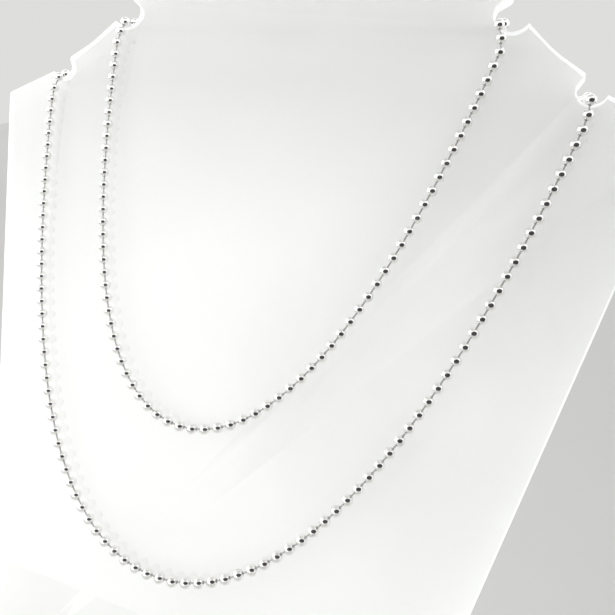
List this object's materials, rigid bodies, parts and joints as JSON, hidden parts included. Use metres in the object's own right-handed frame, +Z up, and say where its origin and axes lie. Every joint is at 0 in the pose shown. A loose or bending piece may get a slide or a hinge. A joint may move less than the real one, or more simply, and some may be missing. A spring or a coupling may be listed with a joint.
{
  "type": "ball chain necklace on a display stand",
  "caption": "Ball chain necklace: hollow balls linked by wire in one closed loop, draped in an inner and an outer run over a notched, leaning acrylic display stand.",
  "frame": {"origin": "centre of the whole object's box on the floor, under the stand's foot", "axes": "+Z up, -Y towards the viewer, who faces the panel's front, +X to the viewer's right"},
  "size_m": [0.166, 0.1, 0.1685],
  "materials": {
    "acrylic": "clear glossy face over a frosted white back, polished edges",
    "plated_balls": "bright nickel plate",
    "link_wire": "bright drawn wire",
    "plated_connector": "bright nickel plate"
  },
  "bodies": {
    "root": {"stand": "acrylic", "chain_balls": "plated_balls", "chain_wire": "link_wire", "connector": "plated_connector"}
  },
  "joints": []
}
